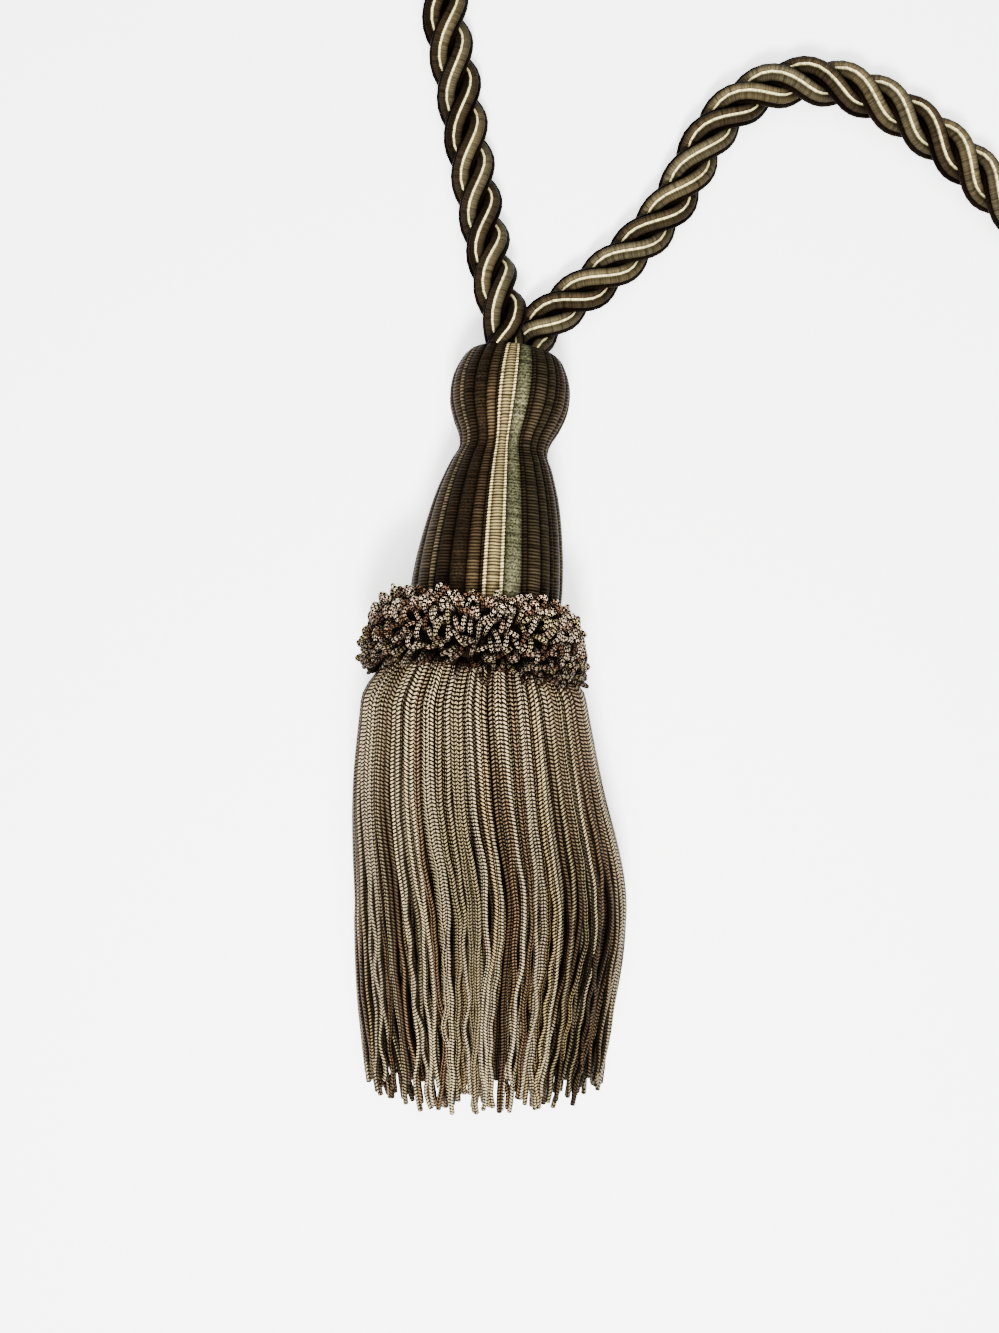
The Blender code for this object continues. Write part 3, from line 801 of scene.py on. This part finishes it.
def around_head(angle):
    """Straight out from the head's axis: angle 0 is the tassel's left, then its front."""
    return np.sin(angle)[..., None] * UPWARDS - np.cos(angle)[..., None] * SIDEWAYS


def circle_outline(sides):
    """Across and up for the corners of a round yarn of radius one."""
    angle = np.arange(sides) * TURN / sides
    return np.cos(angle), np.sin(angle)


def loop_lines(rng, depth, radius, count, length, gap, lean, turn):
    """Centre lines of one row, and what is up for each.

    With t from 0 to pi, a loop is foot + reach * length * sin(t)^0.8 + beside *
    gap / 2 * cos(t) * (1 + sin(t) / 2): half an ellipse with a blunt, wide head.
    """
    stray = rng.uniform(-STRAY_ROUND, STRAY_ROUND, count)
    angle = (np.arange(count) + stray) * TURN / count
    out = around_head(angle)
    skew = 1 + RUFF_SKEW * (1 + np.cos(angle)) / 2
    lean = np.radians(lean + rng.normal(0, STRAY_LEAN, count))[:, None]
    reach = out * np.cos(lean) - DOWN_AXIS * np.sin(lean)
    beside = unit(np.cross(reach, DOWN_AXIS))
    twist = np.radians(turn + rng.normal(0, STRAY_TURN, count))[:, None]
    beside = beside * np.cos(twist) + np.cross(reach, beside) * np.sin(twist)
    foot = HEAD_TOP + DOWN_AXIS * (depth + rng.normal(0, STRAY_DOWN, count))[:, None] * MM
    foot = foot + out * (radius * skew)[:, None] * MM
    length = (length * rng.uniform(*LOOP_LENGTHS, count) * skew * MM)[:, None, None]
    gap = (gap * rng.uniform(*FEET_GAPS, count) * MM)[:, None, None]
    t = np.linspace(0, math.pi, LOOP_RINGS)[None, :, None]
    lines = (
        foot[:, None]
        + reach[:, None] * length * np.sin(t) ** 0.8
        + beside[:, None] * gap / 2 * np.cos(t) * (1 + 0.5 * np.sin(t))
    )
    return lines, np.broadcast_to(np.cross(reach, beside)[:, None], lines.shape)


LOOP_SEED = 21
rng = np.random.default_rng(LOOP_SEED)
rows = [loop_lines(rng, *row[:7]) for row in RUFF_ROWS]
loop_line = np.concatenate([row[0] for row in rows])
loop_up = np.concatenate([row[1] for row in rows])
loop_line[..., 2] = np.maximum(loop_line[..., 2], LOOP_YARN)
print("loops:", len(loop_line))

# %% Yarns: colours by chance, and round rings
RUFF_YARNS = (
    # stitches, gaps, how full the stitches are, share of the loops
    (rgb(255, 228, 190, 0.8), rgb(10, 5, 3), 0.1, 0.50),
    (rgb(238, 194, 160, 0.8), rgb(10, 5, 3), 0.06, 0.20),
    (rgb(240, 214, 156, 0.8), rgb(10, 6, 3), 0.06, 0.14),
    (rgb(156, 114, 84), rgb(8, 4, 2), 0.08, 0.16),
)
GOLDEN = 0.618034  # the golden ratio less one: steps of it never fall into a pattern
STEP_CHANCE = 0.6
YARN_TONES = (0.8, 1.15)  # the darkest and the lightest yarn of one colour


def pick(rng, yarns, count, contrast):
    """Stitch and gap colours for each yarn, by their shares.

    Their fourth numbers are the contrast and how full the stitches are. Steps of the
    golden ratio, with a little chance, spread each colour evenly.
    """
    shares = np.cumsum([yarn[3] for yarn in yarns])
    chance = rng.uniform(0, STEP_CHANCE, count)
    drawn = (np.arange(count) * GOLDEN + chance + rng.uniform()) % 1.0
    chosen = np.minimum(np.searchsorted(shares / shares[-1], drawn), len(yarns) - 1)
    tone = rng.uniform(*YARN_TONES, (count, 1))
    light, dark, full = (
        np.array([yarn[column] for yarn in yarns])[chosen] for column in (0, 1, 2)
    )
    light, dark = light * tone, dark * tone
    light[:, 3] = contrast
    dark[:, 3] = full
    return light, dark


def yarn_rings(lines, up, radius):
    """Rings of a round yarn along each line."""
    _, side, top = directions(lines, up)
    across, height = circle_outline(YARN_SIDES)
    return carried(lines, side, top, across * radius[..., None], height * radius[..., None])


once_round = np.linspace(0, 1, YARN_SIDES + 1)
print("sides of a yarn:", YARN_SIDES, "colours in the ruff:", len(RUFF_YARNS))

# %% Ruff: the loops
RUFF_CONTRAST = 3.4
FEET_LIGHT = 0.04  # the light left at a loop's feet

light, dark = pick(rng, RUFF_YARNS, len(loop_line), RUFF_CONTRAST)
# Painted light and shade: each row's brightness from the table, and each loop darker towards its
# feet
tone = np.repeat([row[7] for row in RUFF_ROWS], [row[2] for row in RUFF_ROWS])
light[:, :3] *= tone[:, None]
crest = np.sin(np.linspace(0, math.pi, LOOP_RINGS))[:, None] ** 2.5
crest = FEET_LIGHT + (1 - FEET_LIGHT) * crest
crest = np.append(crest * np.ones(3), np.ones((LOOP_RINGS, 1)), axis=1)
loop_mesh = tubes(
    "ruff_loops",
    yarn_rings(loop_line, loop_up, np.full(loop_line.shape[:2], LOOP_YARN)),
    once_round,
    along_path(loop_line) / LOOP_STITCH,
    {"yarn": (light[:, None] * crest)[:, :, None], "gap": dark[:, None, None]},
)
ruff_finish = chainette_finish(
    "chainette_loops", columns=3, slant=0.6, squareness=1.2, depth=0.12 * MM
)
add_piece("ruff_loops", loop_mesh, ruff_finish, "ruff")

# %% Ruff: the band that carries the loops
BAND_PROFILE = np.array([
    # depth below the head's top, radius
    (49.0, 13.6), (49.8, 15.0), (51.6, 16.4), (54.0, 17.2), (58.0, 17.8), (60.6, 18.0),
    (61.8, 16.0),
]) * MM
BAND_SIDES = 144
BAND_LIFT = 0.2 * MM  # it is pressed flat underneath, this much above the table
# Painted shade: the band is dark brown, as it lies in the shade of the loops
BAND_COLOUR = rgb(40, 27, 17)
BAND_GAPS = rgb(8, 5, 3, fourth=0.4)
BAND_YARNS = BAND_SIDES / 2  # widths of a yarn that go round it

band_turn = np.arange(BAND_SIDES) * TURN / BAND_SIDES
band_points = (
    HEAD_TOP
    + BAND_PROFILE[:, :1, None] * DOWN_AXIS
    + BAND_PROFILE[:, 1:, None] * around_head(band_turn)
)
band_points[..., 2] = np.maximum(band_points[..., 2], BAND_LIFT)
band_mesh = tubes(
    "ruff_band",
    band_points[None],
    np.linspace(0, BAND_YARNS, BAND_SIDES + 1),
    BAND_PROFILE[None, :, 0] / STITCH,
    {"yarn": BAND_COLOUR, "gap": BAND_GAPS},
)
add_piece("ruff_band", band_mesh, ruff_finish, "ruff")

# %% [markdown]
# ## The skirt
#
# The strands hang from a rolled heading under the ruff. Lying down, they slide into
# a heap: high and round at the ruff, low and flat at the cut ends. A hair system with
# physics would find a heap of its own, so here a table gives the outside of the
# photographed one at five distances, and each round of strands follows it, deeper
# round by round. Every strand keeps its share of the way round, drifts with its
# neighbours into clumps, and meanders a little by itself.

# %% Skirt: the heap
BACKING_FOOT = 57.0 * MM
BACKING_RADIUS = 15.4 * MM
FIRST_BEND = 9.0  # mm, where the strands come out from under the ruff
SKIRT_SECTIONS = np.array([
    # along, left, right, bottom, top, height of the widest place as a share of the
    # heap's height, power that squares the heap's underside; in mm
    (9.0, -24.2, 17.7, 2.5, 39.5, 0.5, 1.0),
    (25.0, -26.2, 21.0, 0.0, 36.2, 0.45, 0.7),
    (49.0, -26.6, 26.4, 0.0, 28.6, 0.4, 0.6),
    (69.0, -26.4, 24.6, 0.0, 20.6, 0.4, 0.55),
    (92.0, -24.8, 22.4, 0.0, 12.8, 0.4, 0.55),
])
HEAP_ROWS = 84  # one a millimetre
HEAP_SHARES = 720
HEAP_OUTLINE = 1440  # steps round a section before it is made even


def read_smoothly(at, places, values):
    """A cubic Hermite curve through a table's rows, with central slopes."""
    slopes = np.gradient(values, places)
    row = np.clip(np.searchsorted(places, at) - 1, 0, len(places) - 2)
    step = places[row + 1] - places[row]
    t = (at - places[row]) / step
    return (
        values[row] * (1 + 2 * t) * (1 - t) ** 2
        + values[row + 1] * t**2 * (3 - 2 * t)
        + step * (slopes[row] * t * (1 - t) ** 2 - slopes[row + 1] * t**2 * (1 - t))
    )


def heap_surface(inset):
    """Places (x, z) on the heap for rows along it and even shares round it.

    Above its widest height a section is half an ellipse. Below, the cosine is raised
    to a power, which flattens the underside. Share 0 is the top, then to the right.
    """
    rows = np.linspace(SKIRT_SECTIONS[0, 0], SKIRT_SECTIONS[-1, 0], HEAP_ROWS)
    left, right, bottom, top, widest, power = (
        read_smoothly(rows, SKIRT_SECTIONS[:, 0], column)[:, None]
        for column in SKIRT_SECTIONS.T[1:]
    )
    phi = np.linspace(0, TURN, HEAP_OUTLINE + 1)
    low, high = np.maximum(bottom, 0) + inset, top - inset
    waist = low + widest * (high - low)
    over = waist + (high - waist) * np.cos(phi)
    under = waist - (waist - low) * np.abs(np.cos(phi)) ** power
    x = (left + right) / 2 + ((right - left) / 2 - inset) * np.sin(phi)
    outline = np.stack([x, np.where(np.cos(phi) > 0, over, under)], -1)
    length = along_path(outline)
    shares = np.linspace(0, 1, HEAP_SHARES + 1)
    return np.array([
        np.column_stack([np.interp(shares * whole[-1], whole, axis) for axis in line.T])
        for line, whole in zip(outline, length)
    ])


def on_heap(surface, along, share):
    """The surface read between its rows and shares, by the four nearest places."""
    row = (along - SKIRT_SECTIONS[0, 0]) / (SKIRT_SECTIONS[-1, 0] - SKIRT_SECTIONS[0, 0])
    row = np.clip(row, 0, 1) * (HEAP_ROWS - 1.001)
    column = share % 1.0 * HEAP_SHARES
    i, j = row.astype(int), column.astype(int)
    a, b = (row - i)[..., None], (column - j)[..., None]
    near = surface[i, j] * (1 - b) + surface[i, j + 1] * b
    far = surface[i + 1, j] * (1 - b) + surface[i + 1, j + 1] * b
    return near * (1 - a) + far * a


# %% Skirt: the strands' lines
ROUNDS = (
    # strands, depth under the heap's outside in mm, seed: these seeds leave no gap
    # through the whole heap
    (94, 0.7, 101),
    (84, 1.95, 102),
    (68, 3.2, 114),
    (52, 4.4, 139),
)
STRAND_RINGS = 56
STRAND_RADIUS = 0.62  # mm
STRAND_STRAY = 0.3  # as a share of the distance between neighbours
# In mm: the longest strand, and how much shorter others are by chance, below, beside
SKIRT_LENGTH, RAGGED_ENDS, SHORTER_BELOW, SHORTER_BESIDE = 91.4, 8.0, 6.0, 3.0
# Waves that draw neighbours together: share of the way round, waves round, waves
# along, phase
CLUMPING = (
    (0.0035, 5, 0.7, 0.4), (0.0024, 9, -0.9, 2.1), (0.0026, 17, 0.6, 1.0),
    (0.0022, 29, -1.3, 3.0),
)
# Waves of each strand by itself: how many along it, and their size, sideways as a share
# of the way round and in depth in mm, with the least and the most depth
SIDEWAYS_WAVES, SIDEWAYS_SIZE = (1.6, 2.9, 5.3, 9.1), 0.0075
DEPTH_WAVES, DEPTH_SIZE, DEPTH_LIMITS = (0.9, 2.2), 0.7, (-0.35, 0.8)


def wandering(rng, count, way, waves, size):
    """Slow sine waves for each strand, growing from its root to its end.

    Each has a phase, speed and strength of its own. Quick waves are weaker, and all
    grow with the way along the strand to the power 1.3.
    """
    phase = rng.uniform(0, TURN, (count, 1, len(waves)))
    speed = np.array(waves) * rng.uniform(0.8, 1.2, (count, 1, len(waves)))
    strength = rng.normal(0, size, (count, 1, len(waves))) / np.array(waves) ** 0.75
    return (strength * np.sin(TURN * speed * way[..., None] + phase)).sum(-1) * way**1.3


def strand_lines(rng, count, inset):
    """Centre lines of a round of strands in metres, and what is outwards for each.

    A line blends from one that hangs straight from the backing, at the root, to one
    that follows the heap. Also each strand's share of the way round, and each ring's
    way from where the strand comes out (0) to the longest strand's end (1).
    """
    stray = rng.uniform(-STRAND_STRAY, STRAND_STRAY, count)
    share = (np.arange(count) + stray + 0.5)[:, None] / count
    under = np.clip(-np.cos(TURN * share), 0, 1)
    length = SKIRT_LENGTH - rng.uniform(0, 1, (count, 1)) ** 1.5 * RAGGED_ENDS
    length = length - under * SHORTER_BELOW - SHORTER_BESIDE * np.sin(TURN * share) ** 6
    along = length * np.linspace(0, 1, STRAND_RINGS)
    way = np.clip((along - FIRST_BEND) / (SKIRT_LENGTH - FIRST_BEND), 0, 1)
    place = share + wandering(rng, count, way, SIDEWAYS_WAVES, SIDEWAYS_SIZE)
    for size, round_it, down, phase in CLUMPING:
        place = place + size * way * np.sin(TURN * (round_it * share + down * way) + phase)
    depth = np.clip(wandering(rng, count, way, DEPTH_WAVES, DEPTH_SIZE), *DEPTH_LIMITS)
    outer, inner = (on_heap(heap_surface(inset + step), along, place) for step in (0, 1))
    heap = outer + (inner - outer) * depth[..., None]
    foot = (HEAD_TOP + DOWN_AXIS * BACKING_FOOT) / MM
    on_table = np.stack([heap[..., 0], foot[1] - along, heap[..., 1]], -1)
    spoke = np.sin(TURN * share) * SIDEWAYS + np.cos(TURN * share) * UPWARDS
    root = foot + spoke * (BACKING_RADIUS / MM - inset)
    hanging = root[:, None] + along[..., None] * DOWN_AXIS
    blend = np.clip(along / FIRST_BEND, 0, 1)[..., None]
    blend = blend**2 * (3 - 2 * blend)
    lines = hanging * (1 - blend) + on_table * blend
    lines[..., 2] = np.maximum(lines[..., 2], STRAND_RADIUS)
    slope = outer - inner
    outwards = np.stack([slope[..., 0], np.zeros(slope.shape[:2]), slope[..., 1]], -1)
    outwards = spoke[:, None] * (1 - blend) + unit(outwards) * blend
    return lines * MM, outwards, share, way


print("strands:", sum(count for count, inset, seed in ROUNDS))

# %% [markdown]
# ### The strands' colours
#
# Strands of six colours are mixed, and some change to another colour on their way
# down, as a space-dyed yarn does. Light hardly gets between the strands, and a heap
# this dense would need many bounces of it, so the shade is painted: each strand is
# dark on its inner side, and each deeper round is darker. Near the cut ends the heap
# opens, and light reaches the deeper rounds too.

# %% Skirt: the colours of a round
SKIRT_YARNS = (
    # stitches, gaps, how full the stitches are, share of the strands
    (rgb(204, 185, 148), rgb(22, 15, 9), 0.45, 0.30),
    (rgb(226, 204, 156), rgb(16, 10, 6), 0.40, 0.15),
    (rgb(202, 172, 118), rgb(12, 7, 4), 0.30, 0.16),
    (rgb(166, 148, 108), rgb(12, 8, 4), 0.32, 0.07),
    (rgb(137, 107, 76), rgb(10, 6, 4), 0.10, 0.17),
    (rgb(98, 76, 54), rgb(7, 4, 2), 0.08, 0.15),
)
NEAR_THE_ROOT = (rgb(219, 191, 146), rgb(20, 12, 8, fourth=0.1))
ROUND_TONES = (1.0, 0.38, 0.16, 0.1)  # the deeper rounds lie in the others' shade
CHANGING = 0.45  # share of the strands whose colour changes on the way down
CHANGES_SEED = 200
BARE_FROM = 0.88  # from here to the cut ends, light reaches the deeper rounds too
BARE_TONE = 0.8
# The tassel's right has a darker group: its middle and half its width as shares of the
# round, and how much darker it is
DARK_GROUP = (0.17, 0.05, 0.45)
CONTRASTS = (1.15, 1.5)  # the least and the most between a strand's stitches and gaps
EASED = 0.7  # how much of that a full yarn loses on its way down
FULLER = 0.16  # how much fuller the stitches are at the cut ends


def drifting(rng, first, second, way):
    """Each strand's colour at each ring: some go over to a second one and back.

    The second one shows on the upper part of a sine wave along the strand.
    """
    count = len(way)
    waves, phase = rng.uniform(0.5, 1.3, (count, 1)), rng.uniform(0, 1, (count, 1))
    wave = np.sin(TURN * (way * waves + phase))
    over = np.clip(wave * 2.0 - 0.4, 0, 1) * (rng.uniform(0, 1, (count, 1)) < CHANGING)
    return first[:, None] * (1 - over[..., None]) + second[:, None] * over[..., None]


def round_colours(rng, changes, tone, share, way):
    """Stitch and gap colours of each ring, and how bare it lies (1 at the cut ends).

    The strands are more alike near the root, and lighter at both ends than midway.
    """
    count = len(way)
    first, second = pick(rng, SKIRT_YARNS, count, 1.0), pick(rng, SKIRT_YARNS, count, 1.0)
    light, dark = (
        drifting(np.random.default_rng(changes), *pair, way) for pair in zip(first, second)
    )
    alike = np.clip(0.28 - 0.7 * way, 0, 1)[..., None]
    light, dark = (
        own * (1 - alike) + root * alike for own, root in zip((light, dark), NEAR_THE_ROOT)
    )
    middle, half, darker = DARK_GROUP
    grouped = np.clip(1.5 - np.abs(share - middle) / half, 0, 1) * np.clip(way * 2.5 - 0.7, 0, 1)
    # Painted shade: the deeper rounds are darker, less so at the cut ends, where the heap opens
    bare = np.clip((way - BARE_FROM) / (1 - BARE_FROM), 0, 1)
    shade = tone + (BARE_TONE - BARE_TONE * tone) * bare
    shade = (shade * (1 - darker * grouped))[..., None]
    ends_lighter = 1.2 - 1.5 * way + 1.5 * way**2
    light[..., :3] *= shade * ends_lighter[..., None]
    light[..., 3] = rng.uniform(*CONTRASTS, (count, 1)) * (1 - EASED * way * dark[..., 3])
    dark[..., :3] *= shade
    dark[..., 3] += FULLER * way
    return light, dark, bare


# %% Skirt: the meshes
STRAND_SIZES = (0.92, 1.08)  # the thinnest and the thickest, as shares of the radius
THINNER_END = 0.12
ROLL = 0.06  # how far a strand is rolled on itself by chance, in turns
DARKEST_SIDE = 0.04
# Where strands touch they are in shade: from 1 on the outer side down to nearly 0
facing = np.clip(1.15 * circle_outline(YARN_SIDES)[1] - 0.05, DARKEST_SIDE, 1)
shaded_side = np.column_stack([facing, facing, facing, np.ones(YARN_SIDES)])

chainette = chainette_finish(
    "chainette", columns=2, slant=0.75, squareness=3.0, depth=0.12 * MM
)
for number, ((count, inset, seed), tone) in enumerate(zip(ROUNDS, ROUND_TONES), 1):
    rng = np.random.default_rng(seed)
    lines, outwards, share, way = strand_lines(rng, count, inset)
    light, dark, bare = round_colours(rng, CHANGES_SEED + number, tone, share, way)
    # The painted shade on each strand's inner side is weaker near the root and at the cut ends
    even = np.clip(0.2 - 0.5 * way, 0, 1) + 0.3 * bare
    sides = shaded_side + (1 - shaded_side) * even[..., None, None]
    size = rng.uniform(*STRAND_SIZES, (count, 1))
    mesh = tubes(
        f"skirt_strands_{number}",
        yarn_rings(lines, outwards, STRAND_RADIUS * MM * (1 - THINNER_END * way) * size),
        once_round + rng.normal(0, ROLL, (count, 1)),
        along_path(lines) / STITCH * rng.choice((-1, 1), (count, 1)),
        {"yarn": light[:, :, None] * sides, "gap": dark[:, :, None]},
    )
    add_piece(f"skirt_strands_{number}", mesh, chainette, "skirt")

# %% [markdown]
# ## Floor and light
#
# A plain pale table and soft light from large lamps, as in a photograph for a shop.
# The table glows a little by itself, so that it comes out nearly white without lamps
# that would bleach the yarns. The main lamp is the smallest one, and it stands on the
# skirt's side, so that the strands and loops throw short shadows.

# %% Floor
FLOOR_HALF = 1.5
FLOOR_HEIGHT = -0.0001  # just under the strands that rest on it
floor_mesh = bpy.data.meshes.new("table")
floor_corners = [(-1, -1), (1, -1), (1, 1), (-1, 1)]
floor_mesh.from_pydata(
    [(x * FLOOR_HALF, y * FLOOR_HALF, FLOOR_HEIGHT) for x, y in floor_corners],
    [],
    [(0, 1, 2, 3)],
)
floor = bpy.data.objects.new("table", floor_mesh)
bpy.context.scene.collection.objects.link(floor)
floor_finish = Finish(
    "pale_table",
    Roughness=0.7,
    Base_Color=(0.92, 0.92, 0.91, 1.0),
    Emission_Color=(1.0, 1.0, 1.0, 1.0),
    Emission_Strength=1.2,
)
floor_mesh.materials.append(floor_finish.data)
print("table:", 2 * FLOOR_HALF, "m wide")

# %% Light
LAMPS = (
    # name, place, size, power in watts
    ("key", (0.0, -0.20, 0.50), 0.10, 11.7),
    ("soft", (0.0, -0.05, 0.60), 0.4, 7.2),
    ("fill", (0.05, 0.30, 0.55), 0.3, 3.6),
)
LAMPS_AIM = (0.0, 0.02, 0.0)
ROOM_LIGHT = 0.14


def add_lamp(name, place, size, power):
    """A square lamp that shines from its place towards the tassel."""
    lamp = bpy.data.lights.new(name, "AREA")
    lamp.size = size
    lamp.energy = power
    obj = bpy.data.objects.new(name, lamp)
    obj.location = place
    aim = Vector(LAMPS_AIM) - Vector(place)
    obj.rotation_euler = aim.to_track_quat("-Z", "Y").to_euler()
    bpy.context.scene.collection.objects.link(obj)


for lamp in LAMPS:
    add_lamp(*lamp)
world = bpy.data.worlds.new("studio")
bpy.context.scene.world = world
world.use_nodes = True
background = world.node_tree.nodes["Background"]
background.inputs["Color"].default_value = (1.0, 1.0, 1.0, 1.0)
background.inputs["Strength"].default_value = ROOM_LIGHT
print("lamps:", len(LAMPS))
